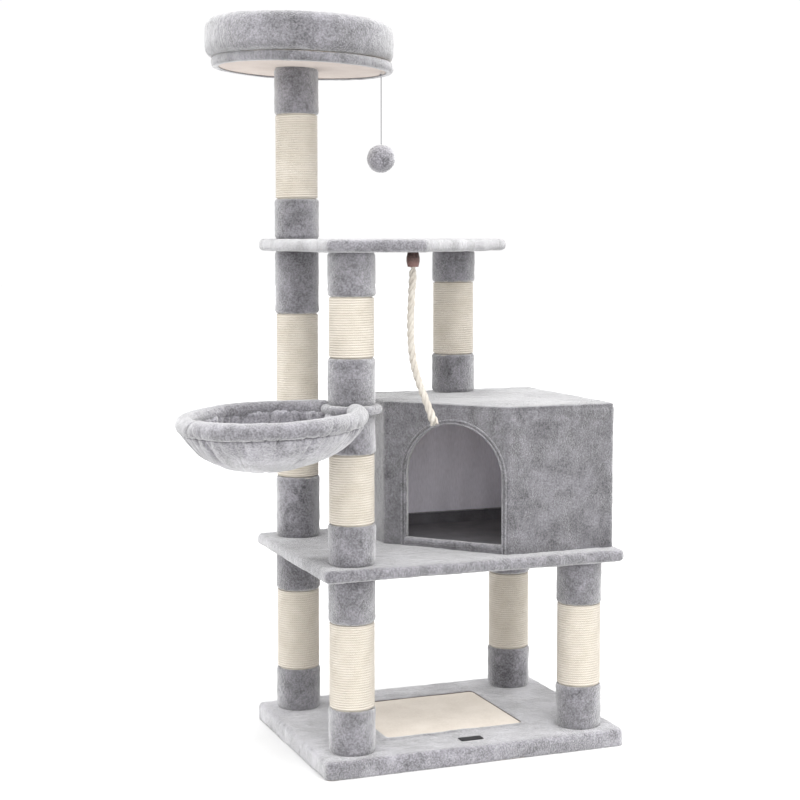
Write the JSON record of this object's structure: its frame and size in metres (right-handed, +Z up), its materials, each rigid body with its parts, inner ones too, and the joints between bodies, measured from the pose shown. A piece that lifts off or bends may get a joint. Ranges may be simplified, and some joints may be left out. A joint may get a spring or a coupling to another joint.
{
  "type": "cat tree",
  "caption": "Tall cat tree: plush platforms on sisal-wrapped posts, a house with an arched door, a hammock, a round padded perch, a hanging ball and a hanging rope.",
  "frame": {"origin": "centre of the base's underside, on the floor", "axes": "+Z up, +X along the long side of the base away from the hammock, +Y to the back, away from the door"},
  "size_m": [0.8785, 0.7326, 1.4195],
  "materials": {
    "plush": "short grey plush with brushed patches",
    "sisal": "cream twisted sisal rope, tightly wound",
    "mat": "woven sisal mat",
    "tab": "plain black woven tab, left blank",
    "board": "raw particle board",
    "paper_tube": "kraft paper tube",
    "steel": "zinc-plated",
    "lining": "thin grey plush lining",
    "dark_lining": "dark non-woven cloth",
    "underside_cloth": "pale beige non-woven cloth",
    "rope": "off-white three-strand cotton rope",
    "string": "thin pale elastic string",
    "cap": "dark brown satin"
  },
  "bodies": {
    "tree": {"base_board": "board", "base_cover": "plush", "scratch_mat": "mat", "blank_tab": "tab", "middle_board": "board", "middle_cover": "plush", "top_board": "board", "top_cover": "plush", "post_tubes": "paper_tube", "post_plugs": "board", "insert_nuts": "steel", "post_bolts": "steel", "joining_studs": "steel", "front_left_lower_sisal": "sisal", "front_left_lower_plush": "plush", "back_left_lower_sisal": "sisal", "back_left_lower_plush": "plush", "front_right_lower_sisal": "sisal", "front_right_lower_plush": "plush", "back_right_lower_sisal": "sisal", "back_right_lower_plush": "plush", "front_left_middle_sisal": "sisal", "front_left_middle_plush": "plush", "front_left_upper_sisal": "sisal", "front_left_upper_plush": "plush", "back_left_long_sisal": "sisal", "back_left_long_plush": "plush", "perch_post_sisal": "sisal", "perch_post_plush": "plush", "roof_post_sisal": "sisal", "roof_post_plush": "plush", "house_back_panel": "board", "house_left_panel": "board", "house_front_panel": "board", "house_right_panel": "board", "house_door_panel": "board", "house_roof_panel": "board", "house_cover": "plush", "house_lining": "lining", "house_floor_liner": "dark_lining", "door_piping": "plush", "hammock_ring": "steel", "hammock_collar": "plush", "hammock_bowl": "plush", "hammock_rim": "plush", "perch_board": "board", "perch_band": "plush", "perch_rim": "plush", "perch_pad": "plush", "perch_lining": "underside_cloth", "toy_staple": "steel", "rope_cap": "cap"},
    "ball_knot": {"toy_knot": "string"},
    "ball": {"toy_string": "string", "toy_ball": "plush"},
    "rope_knot": {"rope_knot": "rope"},
    "rope": {"toy_rope": "rope"}
  },
  "joints": [
    {"name": "ball_swing_side", "type": "hinge", "parent": "tree", "child": "ball_knot", "pos_m": [-0.0775, 0.101, 1.3085], "axis": [0, 1, 0], "range_deg": [-35, 35]},
    {"name": "ball_swing_fore_aft", "type": "hinge", "parent": "ball_knot", "child": "ball", "pos_m": [-0.0775, 0.101, 1.3085], "axis": [1, 0, 0], "range_deg": [-35, 35]},
    {"name": "rope_swing_side", "type": "hinge", "parent": "tree", "child": "rope_knot", "pos_m": [-0.12, -0.178, 0.934], "axis": [0, 1, 0], "range_deg": [-26, 15]},
    {"name": "rope_swing_fore_aft", "type": "hinge", "parent": "rope_knot", "child": "rope", "pos_m": [-0.12, -0.178, 0.934], "axis": [1, 0, 0], "range_deg": [-26, 18]}
  ]
}
